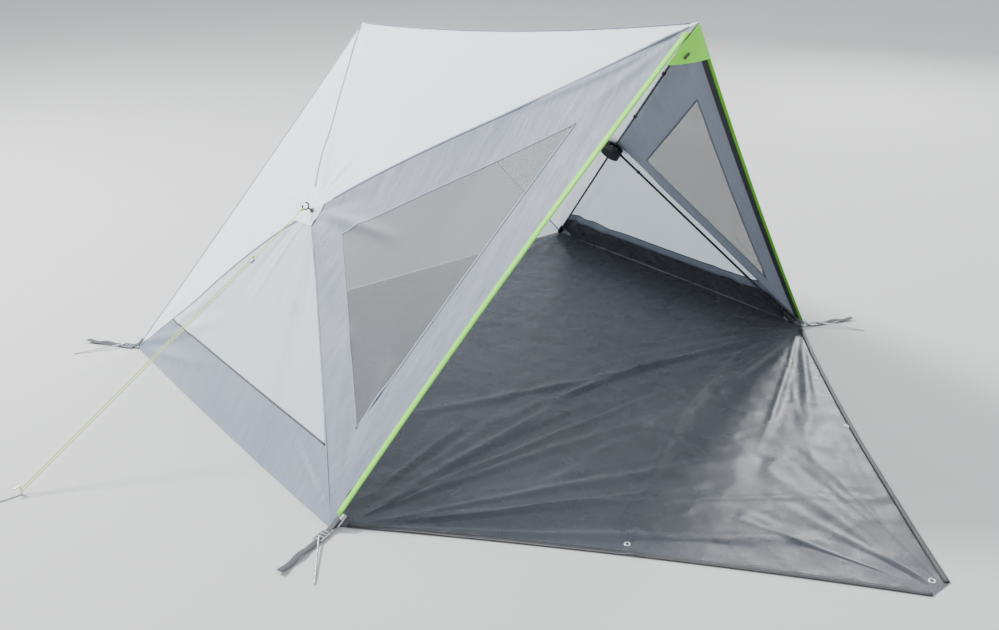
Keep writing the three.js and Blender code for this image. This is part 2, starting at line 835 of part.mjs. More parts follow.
{
  const route = guyRoute.map((point) => v3(...point));
  const ropeRadius = guyDiameter / 2;
  add("guy_line", rod(new RouteCurve(route), ropeRadius, 2 * (route.length - 1)), paleCord);

  const slider = v3(...guySliderAt);
  const downStrand = route[8].clone().sub(route[7]).normalize();
  const holeRadius = ropeRadius + guyHoleClearance / 2;
  const hole = (side) => {
    const middle = slider.clone().add(v3(0, (side * guySpacing) / 2, 0));
    return bar(
      middle.clone().addScaledVector(downStrand, -guySliderLength),
      middle.clone().addScaledVector(downStrand, guySliderLength),
      holeRadius,
      fittingSides,
    );
  };
  const sliderBody = block(
    slider.clone().addScaledVector(downStrand, -guySliderLength / 2),
    downStrand,
    v3(0, 1, 0),
    guySliderLength,
    guySpacing + 2 * (holeRadius + guySliderWall),
    guySliderThickness,
  );
  add("guy_slider", cut(solid(sliderBody), [hole(-1), hole(1)]), greyPlastic);

  const pegRadius = pegDiameter / 2;
  const base = v3(...guyPegAt).setZ(pegRadius + seamGap);
  const top = base.clone().setZ(guyPegRiser);
  const crook = top.clone().add(v3(-guyPegCrook, 0, -guyPegCrookDrop));
  const pegPoint = base.clone().add(v3(-pegLength, 0, 0));
  add(
    "guy_peg",
    geometryOf(
      joined([
        bar(pegPoint, base, pegRadius),
        ball(base, pegRadius),
        bar(base, top, pegRadius),
        ball(top, pegRadius),
        bar(top, crook, pegRadius),
      ]),
    ),
    steel,
  );
}

export default shelter;
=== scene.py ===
import math

import bmesh
import bpy
import numpy as np
from mathutils import Matrix, Vector


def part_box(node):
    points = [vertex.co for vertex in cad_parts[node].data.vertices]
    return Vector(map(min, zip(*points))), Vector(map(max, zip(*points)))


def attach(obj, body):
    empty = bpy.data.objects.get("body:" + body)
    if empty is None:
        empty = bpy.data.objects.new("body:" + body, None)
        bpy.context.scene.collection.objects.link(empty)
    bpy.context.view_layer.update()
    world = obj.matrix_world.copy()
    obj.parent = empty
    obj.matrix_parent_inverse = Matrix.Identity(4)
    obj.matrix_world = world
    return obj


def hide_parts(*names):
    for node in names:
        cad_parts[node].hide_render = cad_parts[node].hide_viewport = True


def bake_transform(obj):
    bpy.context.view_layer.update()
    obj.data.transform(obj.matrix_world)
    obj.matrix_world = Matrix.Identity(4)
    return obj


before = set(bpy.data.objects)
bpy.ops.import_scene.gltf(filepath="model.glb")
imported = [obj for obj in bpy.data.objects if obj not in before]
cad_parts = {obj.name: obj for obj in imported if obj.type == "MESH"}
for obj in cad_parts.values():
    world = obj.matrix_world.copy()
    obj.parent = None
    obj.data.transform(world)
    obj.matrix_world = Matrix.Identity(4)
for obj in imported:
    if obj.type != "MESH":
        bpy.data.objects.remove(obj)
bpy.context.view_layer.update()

# ---- Setting ----
# A standing person's view over the front left corner, a plain pale floor, and soft light from
# a pale sky with a broad, weak sun behind the left shoulder of the shelter.
eye_place = (-2.072, -2.716, 1.616)
eye_turn_right = 38.645
eye_tilt_down = 24.051
floor_reach = 30.0

eye_data = bpy.data.cameras.new("eye")
eye_data.lens = 35.71
eye_data.sensor_width = 36.0
eye = bpy.data.objects.new("eye", eye_data)
bpy.context.scene.collection.objects.link(eye)
eye.location = eye_place
eye.rotation_euler = (math.radians(90 - eye_tilt_down), 0, math.radians(-eye_turn_right))
bpy.context.scene.camera = eye


def finish_of(name, colour, roughness):
    """A new material, with its Principled shader and its node tree."""
    finish = bpy.data.materials.new(name)
    finish.use_nodes = True
    tree = finish.node_tree
    shader = tree.nodes["Principled BSDF"]
    shader.inputs["Base Color"].default_value = (*colour, 1)
    shader.inputs["Roughness"].default_value = roughness
    return finish, tree, shader


def noise(tree, scale, detail=3.0, coordinates="Object"):
    """A noise pattern of the piece's own place, as a number."""
    place = tree.nodes.new("ShaderNodeTexCoord")
    pattern = tree.nodes.new("ShaderNodeTexNoise")
    pattern.inputs["Scale"].default_value = scale
    pattern.inputs["Detail"].default_value = detail
    tree.links.new(place.outputs[coordinates], pattern.inputs["Vector"])
    return pattern.outputs["Fac"]


def ramp_of(tree, number, low, high, low_at=0.3, high_at=0.7):
    """A number turned to a colour or a grey between two ends."""
    ramp = tree.nodes.new("ShaderNodeMapRange")
    ramp.inputs["From Min"].default_value = low_at
    ramp.inputs["From Max"].default_value = high_at
    ramp.inputs["To Min"].default_value = low
    ramp.inputs["To Max"].default_value = high
    tree.links.new(number, ramp.inputs["Value"])
    return ramp.outputs["Result"]


def tint(tree, shader, colour, dark_colour, share):
    """The base colour goes from colour to dark_colour as share goes from 0 to 1."""
    mix = tree.nodes.new("ShaderNodeMix")
    mix.data_type = "RGBA"
    mix.inputs["A"].default_value = (*colour, 1)
    mix.inputs["B"].default_value = (*dark_colour, 1)
    tree.links.new(share, mix.inputs["Factor"])
    tree.links.new(mix.outputs["Result"], shader.inputs["Base Color"])
    return mix.outputs["Result"]


def raise_by(tree, shader, height, distance, strength=1.0):
    """Adds a bump under the ones the shader already has."""
    bump = tree.nodes.new("ShaderNodeBump")
    bump.inputs["Strength"].default_value = strength
    bump.inputs["Distance"].default_value = distance
    tree.links.new(height, bump.inputs["Height"])
    before = shader.inputs["Normal"].links
    if before:
        tree.links.new(before[0].from_socket, bump.inputs["Normal"])
    tree.links.new(bump.outputs["Normal"], shader.inputs["Normal"])


floor_finish, tree, shader = finish_of("pale_floor", (0.44, 0.44, 0.43), 0.9)
bpy.ops.mesh.primitive_plane_add(size=2 * floor_reach)
floor = bpy.context.object
floor.name = "floor"
floor.data.materials.append(floor_finish)

sky = bpy.data.worlds.new("sky")
bpy.context.scene.world = sky
sky.use_nodes = True
sky.node_tree.nodes["Background"].inputs["Color"].default_value = (0.90, 0.95, 1.0, 1)
sky.node_tree.nodes["Background"].inputs["Strength"].default_value = 1.35


def soft_lamp(name, place, aim, size, power):
    """A square soft box that faces its aim."""
    data = bpy.data.lights.new(name, "AREA")
    data.size = size
    data.energy = power
    lamp = bpy.data.objects.new(name, data)
    bpy.context.scene.collection.objects.link(lamp)
    lamp.location = place
    lamp.rotation_euler = (Vector(aim) - Vector(place)).to_track_quat("-Z", "Y").to_euler()


soft_lamp("key", (-3.2, 4.2, 5.2), (-0.3, 0, 0.5), 1.4, 1350)
soft_lamp("fill", (3.5, -4.5, 4.5), (0, -1, 0.0), 3.0, 120)
soft_lamp("back", (6.0, 1.9, 3.4), (0.4, -1.0, 0.0), 1.3, 330)

# ---- Groundsheet and porch flap ----
# One coated charcoal cloth: the floor of the cabin, and the flap that lies in front of it and
# zips up as the door. It is cut flat, pulled tight at the corners, and creases run from them.
_, sheet_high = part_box("groundsheet")
door_low, door_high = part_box("porch_door")
sheet_inset = 0.008
half_width = sheet_high[0] + sheet_inset
front_line = door_high[1] + 0.001  # the hinge line between the sheet and the flap
rear_line = sheet_high[1] + sheet_inset
sheet_rest = 0.0022  # height of the cloth's middle where it lies flat
door_tip_half = 0.04
door_root_half = door_high[0]
door_length = door_high[1] - door_low[1]
door_edge_hollow = 0.026  # how far the cut edges curve in

chance = np.random.default_rng(11)


def crease_lines(origin, aim, spread, count, reach, width, height):
    """Creases that fan out from a point: each is where it starts, its way, length, width and rise."""
    lines = []
    for i in range(count):
        angle = aim + spread * ((i + 0.5) / count - 0.5) + chance.normal(0, spread / count / 3)
        lines.append(
            (
                np.array(origin) + chance.normal(0, 0.012, 2),
                np.array([math.cos(angle), math.sin(angle)]),
                reach * chance.uniform(0.45, 1.0),
                width * chance.uniform(0.6, 1.4),
                height * chance.uniform(0.4, 1.0) * (1 if i % 2 == 0 else -0.55),
                chance.normal(0, 0.10),
            )
        )
    return lines


def crease_height(lines, x, y):
    """The height that a set of creases gives at each place."""
    total = np.zeros_like(x)
    for origin, way, reach, width, height, bend in lines:
        run = (x - origin[0]) * way[0] + (y - origin[1]) * way[1]
        off = -(x - origin[0]) * way[1] + (y - origin[1]) * way[0] + bend * run**2
        share = np.clip(run / reach, 0, 1)
        here = width * (0.5 + 1.4 * share)
        total += height * np.sin(math.pi * share) ** 0.7 * np.exp(-((off / here) ** 2))
    return total


floor_creases = []
for right in (-1, 1):
    corner = (right * (half_width - 0.03), front_line)
    inner_aim = math.atan2(0.55, -right)
    outer_aim = math.atan2(-0.75, -right)
    floor_creases += crease_lines(corner, inner_aim, 1.1, 10, 1.2, 0.013, 0.007)
    floor_creases += crease_lines(corner, outer_aim, 0.8, 12, 1.5, 0.012, 0.013)
    hinge_aim = 0.5 * math.pi * (1 + right) - 0.12 * right
    floor_creases += crease_lines(corner, hinge_aim, 0.45, 8, 1.9, 0.011, 0.012)
    back = (right * (half_width - 0.03), rear_line - 0.02)
    floor_creases += crease_lines(back, math.atan2(-0.7, -right), 1.2, 8, 0.8, 0.014, 0.007)
floor_creases += crease_lines((0, front_line - door_length), math.pi / 2, 1.0, 8, 0.8, 0.012, 0.006)
floor_creases += crease_lines((-0.45, front_line - 0.2), 0.1, 0.8, 5, 0.9, 0.02, 0.008)


def floor_height(x, y):
    """Height of the groundsheet cloth over the ground."""
    swell = 0.003 * np.sin(5.1 * x + 0.7) * np.sin(4.3 * y + 1.2) + 0.0015 * np.sin(13 * x - 7 * y)
    raw = crease_height(floor_creases, x, y) + swell
    return sheet_rest + np.maximum(raw, 0)


def cloth_mesh(name, patches, finish, weld=0.0002):
    """One sheet from grids of points, each with its flat coordinates in metres, welded where
    they meet."""
    points = []
    faces = []
    flats = []
    for grid, flat in patches:
        rows, columns = grid.shape[:2]
        base = len(points)
        points.extend(grid.reshape(-1, 3).tolist())
        flats.extend(flat.reshape(-1, 2).tolist())
        for i in range(rows - 1):
            for j in range(columns - 1):
                a = base + i * columns + j
                faces.append((a, a + 1, a + columns + 1, a + columns))
    mesh = bpy.data.meshes.new(name)
    mesh.from_pydata(points, [], faces)
    layer = mesh.uv_layers.new(name="flat")
    for loop in mesh.loops:
        layer.data[loop.index].uv = flats[loop.vertex_index]
    work = bmesh.new()
    work.from_mesh(mesh)
    bmesh.ops.remove_doubles(work, verts=work.verts, dist=weld)
    bmesh.ops.dissolve_degenerate(work, edges=work.edges, dist=weld / 2)
    bmesh.ops.recalc_face_normals(work, faces=work.faces)
    work.to_mesh(mesh)
    work.free()
    mesh.shade_smooth()
    mesh.materials.append(finish)
    piece = bpy.data.objects.new(name, mesh)
    bpy.context.scene.collection.objects.link(piece)
    return piece


def weave(tree, shader, pitch, depth):
    """A plain weave of that pitch, as a fine bump from the flat coordinates. Returns its height."""
    place = tree.nodes.new("ShaderNodeTexCoord")
    heights = []
    for direction in ("X", "Y"):
        yarn = tree.nodes.new("ShaderNodeTexWave")
        yarn.bands_direction = direction
        yarn.inputs["Scale"].default_value = 2 * math.pi / 20 / pitch
        tree.links.new(place.outputs["UV"], yarn.inputs["Vector"])
        heights.append(yarn.outputs["Fac"])
    both = tree.nodes.new("ShaderNodeMath")
    both.operation = "MULTIPLY"
    tree.links.new(heights[0], both.inputs[0])
    tree.links.new(heights[1], both.inputs[1])
    raise_by(tree, shader, both.outputs["Value"], depth, 0.5)
    return both.outputs["Value"]


def coated_cloth(
    name, colour, shade_colour, roughness, glow, pitch=0.0012, rumple=0.0012, crinkle=0, gather=0
):
    """Thin coated cloth: it lets glow of the light through, and carries a weave and rumples."""
    finish, tree, shader = finish_of(name, colour, roughness)
    shader.inputs["Sheen Weight"].default_value = 0.12
    shader.inputs["Sheen Roughness"].default_value = 0.5
    shader.inputs["Specular IOR Level"].default_value = 0.35
    cloudy = ramp_of(tree, noise(tree, 2.3, 5), 0.0, 1.0)
    colour_out = tint(tree, shader, colour, shade_colour, cloudy)
    uneven = ramp_of(tree, noise(tree, 9.0, 4), roughness - 0.06, roughness + 0.08)
    tree.links.new(uneven, shader.inputs["Roughness"])
    raise_by(tree, shader, noise(tree, 26.0, 3), rumple, 0.6)
    if crinkle:
        crumple = tree.nodes.new("ShaderNodeTexVoronoi")
        crumple.feature = "SMOOTH_F1"
        crumple.inputs["Scale"].default_value = 13.0
        crumple.inputs["Smoothness"].default_value = 0.35
        warp = tree.nodes.new("ShaderNodeMix")
        warp.data_type = "VECTOR"
        warp.inputs["Factor"].default_value = 0.16
        place = tree.nodes.new("ShaderNodeTexCoord")
        stir = tree.nodes.new("ShaderNodeTexNoise")
        stir.inputs["Scale"].default_value = 4.0
        tree.links.new(place.outputs["Object"], stir.inputs["Vector"])
        tree.links.new(place.outputs["Object"], warp.inputs["A"])
        tree.links.new(stir.outputs["Color"], warp.inputs["B"])
        tree.links.new(warp.outputs["Result"], crumple.inputs["Vector"])
        raise_by(tree, shader, crumple.outputs["Distance"], crinkle, 0.45)
    if gather:
        stretch = tree.nodes.new("ShaderNodeMapping")
        stretch.inputs["Scale"].default_value = (24, 5, 1)
        stretch.inputs["Rotation"].default_value = (0, 0, 0.35)
        gathers = noise(tree, 1.0, 3, "UV")
        tree.links.new(gathers.node.inputs["Vector"].links[0].from_socket, stretch.inputs["Vector"])
        tree.links.new(stretch.outputs["Vector"], gathers.node.inputs["Vector"])
        raise_by(tree, shader, gathers, gather, 0.6)
    weave(tree, shader, pitch, 0.0003)
    if glow:
        through = tree.nodes.new("ShaderNodeBsdfTranslucent")
        tree.links.new(colour_out, through.inputs["Color"])
        mix = tree.nodes.new("ShaderNodeMixShader")
        mix.inputs["Fac"].default_value = glow
        out = tree.nodes["Material Output"]
        tree.links.new(shader.outputs["BSDF"], mix.inputs[1])
        tree.links.new(through.outputs["BSDF"], mix.inputs[2])
        tree.links.new(mix.outputs["Shader"], out.inputs["Surface"])
    return finish


charcoal = coated_cloth(
    "charcoal_coated_cloth",
    (0.030, 0.033, 0.043),
    (0.044, 0.048, 0.060),
    0.27,
    0,
    rumple=0.0022,
    crinkle=0.012,
)


def declare_sheet(piece, strip_width=None):
    """Works out the smallest rectangle its flat cut fits, and its flat area, and hands them to nothing.
    One made up of strips is taken as wide as a strip and as long as they are together."""
    layer = piece.data.uv_layers[0].data
    flat = np.array([layer[i].uv[:] for i in range(len(layer))])
    area = 0.0
    for face in piece.data.polygons:
        ring = flat[face.loop_start : face.loop_start + face.loop_total]
        nxt = np.roll(ring, -1, axis=0)
        area += abs(np.sum(ring[:, 0] * nxt[:, 1] - ring[:, 1] * nxt[:, 0])) / 2
    best = None
    for turn in np.radians(np.arange(0, 90, 1.0)):
        along = flat @ np.array([math.cos(turn), math.sin(turn)])
        across = flat @ np.array([-math.sin(turn), math.cos(turn)])
        width, length = np.ptp(along), np.ptp(across)
        if best is None or width * length < best[0] * best[1]:
            best = (width, length)
    if strip_width:
        best = (strip_width, 1.02 * area / strip_width)


def door_half(y):
    """Half the flap's width at a distance ahead of the front line."""
    share = (front_line - y) / door_length
    straight = door_root_half + (door_tip_half - door_root_half) * share
    return straight - door_edge_hollow * 4 * share * (1 - share)


across = np.linspace(-1, 1, 150)
deep = np.linspace(rear_line - sheet_inset, front_line, 110)
u, y = np.meshgrid(across, deep)
x = u * (half_width - sheet_inset)
grid = np.stack([x, y, floor_height(x, y)], axis=-1)
groundsheet = cloth_mesh("groundsheet_cloth", [(grid, np.stack([x, y], axis=-1))], charcoal)
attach(groundsheet, "root")
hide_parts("groundsheet")
declare_sheet(groundsheet)

ahead = np.linspace(front_line, front_line - door_length, 110)
u, y = np.meshgrid(across, ahead)
x = u * door_half(y)
grid = np.stack([x, y, floor_height(x, y)], axis=-1)
porch = cloth_mesh("porch_flap", [(grid, np.stack([x, y], axis=-1))], charcoal)
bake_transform(porch)
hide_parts("porch_door")
declare_sheet(porch)

# ---- Flap edge binding and eyelets ----
# Black zip tape with its coil is sewn round both edges of the flap, and three plated eyelets
# are pressed through the edge for pegs.
zip_width = 0.016
zip_thickness = 0.003
eyelet_outer = 0.0095
eyelet_bore = 0.0055
eyelet_places = [(-0.476, -1.258), (0.505, -1.264), (0.011, -1.838)]


def ribbon(name, centres, normals, width, thickness, finish, bulge=1.0):
    """A closed flat band along a line: its way across is square to the line and to the normal.
    Its flat coordinates run along it and across it, in metres."""
    centres = np.asarray(centres, float)
    normals = np.broadcast_to(np.asarray(normals, float), centres.shape)
    tangents = np.gradient(centres, axis=0)
    tangents /= np.linalg.norm(tangents, axis=1)[:, None]
    sides = np.cross(tangents, normals)
    sides /= np.linalg.norm(sides, axis=1)[:, None]
    ups = np.cross(sides, tangents)
    ring = [(-0.5, 0), (-0.42, 0.5), (0.42, 0.5), (0.5, 0), (0.42, -0.5), (-0.42, -0.5)]
    runs = np.concatenate([[0], np.cumsum(np.linalg.norm(np.diff(centres, axis=0), axis=1))])
    points = []
    for centre, side, rise in zip(centres, sides, ups):
        points += [tuple(centre + side * a * width + rise * b * thickness) for a, b in ring]
    count = len(ring)
    faces = [tuple(range(count - 1, -1, -1))]
    for i in range(len(centres) - 1):
        for k in range(count):
            a, b = i * count + k, i * count + (k + 1) % count
            faces.append((a, b, b + count, a + count))
    last = (len(centres) - 1) * count
    faces.append(tuple(range(last, last + count)))
    mesh = bpy.data.meshes.new(name)
    mesh.from_pydata(points, [], faces)
    layer = mesh.uv_layers.new(name="flat")
    for loop in mesh.loops:
        row, k = divmod(loop.vertex_index, count)
        layer.data[loop.index].uv = (runs[row], ring[k][0] * width)
    mesh.materials.append(finish)
    mesh.shade_smooth()
    mesh.validate()
    piece = bpy.data.objects.new(name, mesh)
    bpy.context.scene.collection.objects.link(piece)
    return piece


def toothed(name, colour, pitch, roughness=0.45):
    """Sewn tape: ribs across it."""
    finish, tree, shader = finish_of(name, colour, roughness)
    place = tree.nodes.new("ShaderNodeTexCoord")
    ribs = tree.nodes.new("ShaderNodeTexWave")
    ribs.bands_direction = "X"
    ribs.inputs["Scale"].default_value = 2 * math.pi / 20 / pitch
    tree.links.new(place.outputs["UV"], ribs.inputs["Vector"])
    # The raised ribs are painted lighter than the grooves between them, following the same wave as the
    # bump: a painted highlight on the rib tops and painted shade in the grooves.
    rib_highlight_colour = tuple(min(1, c * 1.35 + 0.012) for c in colour)
    tint(tree, shader, colour, rib_highlight_colour, ribs.outputs["Fac"])
    raise_by(tree, shader, ribs.outputs["Fac"], 0.0006, 0.8)
    raise_by(tree, shader, noise(tree, 60, 3), 0.0006, 0.4)
    uneven = ramp_of(tree, noise(tree, 30.0, 3), roughness - 0.07, roughness + 0.1)
    tree.links.new(uneven, shader.inputs["Roughness"])
    return finish


black_zip = toothed("black_zip_tape", (0.014, 0.014, 0.016), 0.003)

for right, side_name in ((-1, "left"), (1, "right")):
    y = np.linspace(front_line - 0.012, front_line - door_length + 0.004, 90)
    x = right * (door_half(y) - zip_width / 2)
    line = np.stack([x, y, floor_height(x, y) + 0.0016], axis=-1)
    edge = ribbon(f"{side_name}_flap_zip", line, (0, 0, 1), zip_width, zip_thickness, black_zip)
    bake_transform(edge)


def metal(name, colour, roughness):
    """Plated or bare metal with fine scuffs."""
    finish, tree, shader = finish_of(name, colour, roughness)
    shader.inputs["Metallic"].default_value = 1.0
    scuffed = ramp_of(tree, noise(tree, 180.0, 5), roughness - 0.08, roughness + 0.16)
    tree.links.new(scuffed, shader.inputs["Roughness"])
    tint(tree, shader, colour, tuple(c * 0.75 for c in colour), ramp_of(tree, noise(tree, 45, 4), 0, 1))
    raise_by(tree, shader, noise(tree, 400, 3), 0.0001, 0.5)
    return finish


plated_steel = metal("plated_steel", (0.72, 0.73, 0.75), 0.28)


def turned(name, profile, steps, finish, place, axis=(0, 0, 1), closed=True):
    """A turned ring: its profile of (radius, height) pairs is swept round an axis."""
    points = []
    faces = []
    count = len(profile)
    for i in range(steps):
        angle = 2 * math.pi * i / steps
        points += [(r * math.cos(angle), r * math.sin(angle), h) for r, h in profile]
        after = (i + 1) % steps
        for k in range(count if closed else count - 1):
            n = (k + 1) % count
            faces.append((i * count + k, after * count + k, after * count + n, i * count + n))
    mesh = bpy.data.meshes.new(name)
    mesh.from_pydata(points, [], faces)
    turn = Vector((0, 0, 1)).rotation_difference(Vector(axis)).to_matrix().to_4x4()
    mesh.transform(Matrix.Translation(Vector(place)) @ turn)
    mesh.materials.append(finish)
    work = bmesh.new()
    work.from_mesh(mesh)
    bmesh.ops.recalc_face_normals(work, faces=work.faces)
    work.to_mesh(mesh)
    work.free()
    mesh.shade_smooth()
    piece = bpy.data.objects.new(name, mesh)
    bpy.context.scene.collection.objects.link(piece)
    return piece


for i, (x, y) in enumerate(eyelet_places):
    height = float(floor_height(np.array([x]), np.array([y]))[0])
    rim = [
        (eyelet_bore, -0.0012),
        (eyelet_outer, -0.0012),
        (eyelet_outer, 0.0008),
        (eyelet_outer - 0.002, 0.0022),
        (eyelet_bore + 0.0012, 0.0022),
        (eyelet_bore, 0.001),
    ]
    eyelet = turned(f"flap_eyelet_{i + 1}", rim, 28, plated_steel, (x, y, height + 0.0008))
    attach(eyelet, "porch_door")

# ---- Side panels ----
# Each sloping side is one piece of coated cloth made of cut panels that meet in four seams at
# the hub. The poles push the seams out, and small creases run from the corners and the hub.
front_apex = np.array([0.0, -0.955, 1.260])
rear_apex = np.array([0.0, 0.725, 1.085])
hub_out = 0.670
hub_height = 0.645
hub_behind = -0.020
hem_height = 0.004
ridge_sag = 0.026
edge_hollow = {"ridge": 0.0, "front": 0.017, "rear": 0.014, "ground": -0.008}
seam_bow = {"front_apex": 0.005, "front_foot": 0.004, "rear_foot": 0.006, "rear_apex": 0.016}
panel_slack = 0.009
edge_fade = 0.07  # share of the way in from an outer edge over which creases die out
grey_upper = 0.133
grey_front = 0.132
grey_lower = 0.108
skirt_height = 0.150

white_cloth = coated_cloth("white_roof_cloth", (0.86, 0.88, 0.90), (0.82, 0.85, 0.89), 0.52, 0.30)
pale_cloth = coated_cloth("pale_wall_cloth", (0.70, 0.75, 0.80), (0.64, 0.70, 0.77), 0.52, 0.34)
grey_cloth = coated_cloth(
    "silver_grey_cloth", (0.235, 0.262, 0.320), (0.200, 0.226, 0.284), 0.46, 0.14, gather=0.008
)
skirt_cloth = coated_cloth(
    "grey_skirt_cloth", (0.215, 0.245, 0.300), (0.175, 0.205, 0.262), 0.44, 0.08, gather=0.008
)


stay_height = 0.027  # cloth below this height over the corners' plane stays at the edges
hub_travel = 0.120
soft_lead = 0.01


class Side:
    """One sloping side: its corners, its hub, and the surface its cloth lies in."""

    def __init__(self, name, right):
        self.name = name
        self.right = right
        self.hub = np.array([right * hub_out, hub_behind, hub_height])
        self.corner = {
            "front_apex": front_apex,
            "front_foot": np.array([right * half_width, front_line, hem_height]),
            "rear_foot": np.array([right * half_width, rear_line, hem_height]),
            "rear_apex": rear_apex,
        }
        c = self.corner
        normal = np.cross(c["rear_apex"] - c["front_foot"], c["front_apex"] - c["rear_foot"])
        normal /= np.linalg.norm(normal)
        self.out = normal if normal[0] * right > 0 else -normal
        self.level = sum(self.out @ p for p in c.values()) / 4
        self.rise = self.out @ self.hub - self.level
        self.along = np.array([0.0, 1.0, 0.0])
        self.along -= self.out * (self.along @ self.out)
        self.along /= np.linalg.norm(self.along)
        self.up = np.cross(self.along, self.out) * right
        self.creases = []
        for corner, spread, count, reach, height in (
            ("front_foot", 1.0, 11, 0.65, 0.0090),
            ("rear_foot", 1.1, 12, 0.80, 0.0120),
            ("rear_apex", 0.9, 7, 0.50, 0.0070),
            ("front_apex", 0.7, 8, 0.60, 0.0080),
        ):
            spot = self.flat(c[corner])
            way = self.flat(self.hub) - spot
            aim = math.atan2(way[1], way[0])
            self.creases += crease_lines(spot, aim, spread, count, reach, 0.010, height)
        centre = self.flat(self.hub)
        self.creases += crease_lines(centre, 0.0, 2 * math.pi, 18, 0.50, 0.010, 0.0080)

    def flat(self, point):
        """Flat coordinates in the side's own plane."""
        way = point - self.hub
        return np.stack([way @ self.along, way @ self.up], axis=-1)

    def outer_edge(self, start, end, t):
        """A point on the outer edge between two corners."""
        a, b = self.corner[start], self.corner[end]
        kind = {
            ("rear_apex", "front_apex"): "ridge",
            ("front_apex", "front_foot"): "front",
            ("rear_foot", "rear_apex"): "rear",
            ("front_foot", "rear_foot"): "ground",
        }[(start, end)]
        t = t[..., None]
        arc = 4 * t * (1 - t)
        line = a + (b - a) * t
        if kind == "ridge":
            return line - arc * np.array([0, 0, ridge_sag])
        if kind == "ground":
            return line - arc * edge_hollow[kind] * np.array([self.right, 0, 0])
        inwards = self.hub - (a + b) / 2
        way = (b - a) / np.linalg.norm(b - a)
        inwards -= way * (inwards @ way)
        inwards /= np.linalg.norm(inwards)
        return line + arc * edge_hollow[kind] * inwards

    def seam(self, corner, t):
        """A point on the seam from the hub to a corner."""
        t = t[..., None]
        line = self.hub + (self.corner[corner] - self.hub) * t
        line = line + 4 * t * (1 - t) * seam_bow[corner] * self.out
        # The poles stay straight as the hub goes in, while cloth near the hub leads them.
        share = (line @ self.out - self.level - stay_height) / (self.rise - stay_height)
        share = np.clip(share, 0, 1)[..., None]
        lead = share * share * (3 - 2 * share) - (1 - t)
        room = hub_travel * (lead + np.sqrt(lead * lead + soft_lead**2) - soft_lead) / 2
        return line + room * self.out

    def surface(self, start, end, shares, lift=0.0):
        """Points of the face between the hub and two corners. shares are each point's shares of
        hub, start and end."""
        shares = np.asarray(shares, float)
        reach = np.clip(shares[..., 1] + shares[..., 2], 0, 1)
        turn = np.where(reach > 1e-9, shares[..., 2] / np.maximum(reach, 1e-9), 0.5)
        a, b = self.corner[start], self.corner[end]
        edge = self.outer_edge(start, end, turn)
        chord = a + (b - a) * turn[..., None]
        point = (1 - turn)[..., None] * self.seam(start, reach)
        point = point + turn[..., None] * self.seam(end, reach)
        point = point + (reach**2)[..., None] * (edge - chord)
        slack = -panel_slack * 16 * reach * (1 - reach) * turn * (1 - turn)
        fade = np.clip((1 - reach) / edge_fade, 0, 1)
        fade = fade * fade * (3 - 2 * fade)
        spot = self.flat(point)
        height = slack + fade * crease_height(self.creases, spot[..., 0], spot[..., 1]) + lift
        return point + height[..., None] * self.out, spot


def between(corners, rows, columns):
    """Shares over a four-sided region, given by the shares at its corners."""
    a, b, c, d = (np.array(p, float) for p in corners)
    v, u = np.meshgrid(np.linspace(0, 1, rows), np.linspace(0, 1, columns), indexing="ij")
    u, v = u[..., None], v[..., None]
    return (1 - v) * ((1 - u) * a + u * b) + v * ((1 - u) * d + u * c)


def altitude(tip, a, b):
    """Height of a triangle's tip over its opposite side."""
    way = (b - a) / np.linalg.norm(b - a)
    off = tip - a
    return np.linalg.norm(off - way * (off @ way))


def move_with_hub(piece):
    """Bakes the piece's place into its points; the piece is not tied to the hub and stays as built."""
    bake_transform(piece)


def panel(side, name, start, end, regions, finish, node, rows=44, columns=60):
    """One cloth panel of a side, over regions of the face between two corners."""
    patches = [side.surface(start, end, between(region, rows, columns)) for region in regions]
    piece = cloth_mesh(f"{side.name}_{name}", patches, finish)
    move_with_hub(piece)
    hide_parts(f"{side.name}_{node}")
    declare_sheet(piece)
    return piece


hub_share, start_share, end_share = (1, 0, 0), (0, 1, 0), (0, 0, 1)
sides = [Side("left", -1), Side("right", 1)]
for side in sides:
    whole = [(hub_share, hub_share, end_share, start_share)]
    panel(side, "roof_cloth", "rear_apex", "front_apex", whole, white_cloth, "roof_panel")
    panel(side, "rear_cloth", "rear_foot", "rear_apex", whole, white_cloth, "rear_panel")
    hem = skirt_height / hub_height
    lower = [(hub_share, hub_share, (hem, 0, 1 - hem), (hem, 1 - hem, 0))]
    panel(side, "lower_cloth", "front_foot", "rear_foot", lower, pale_cloth, "lower_panel")
    strip = [((hem, 1 - hem, 0), (hem, 0, 1 - hem), end_share, start_share)]
    panel(side, "skirt_cloth", "front_foot", "rear_foot", strip, skirt_cloth, "skirt")

# ---- Tub walls ----
# The groundsheet turns up inside the skirt and the rear wall as a shallow dark tub, and a pale
# hem closes its upper edge.
tub_height = 0.118
tub_clearance = 0.006

for side in sides:
    top = tub_height / hub_height
    region = ((top, 1 - top, 0), (top, 0, 1 - top), end_share, start_share)
    shares = between(region, 16, 90)
    patches = [side.surface("front_foot", "rear_foot", shares, -tub_clearance)]
    piece = cloth_mesh(f"{side.name}_tub_wall", patches, charcoal)
    move_with_hub(piece)
    declare_sheet(piece)

# ---- Grey bands and mesh windows ----
# The face beside the opening is a triangle of fine grey mesh in a frame of silver-grey cloth.
# Its upper band runs straight through, and the other two are sewn up to it.


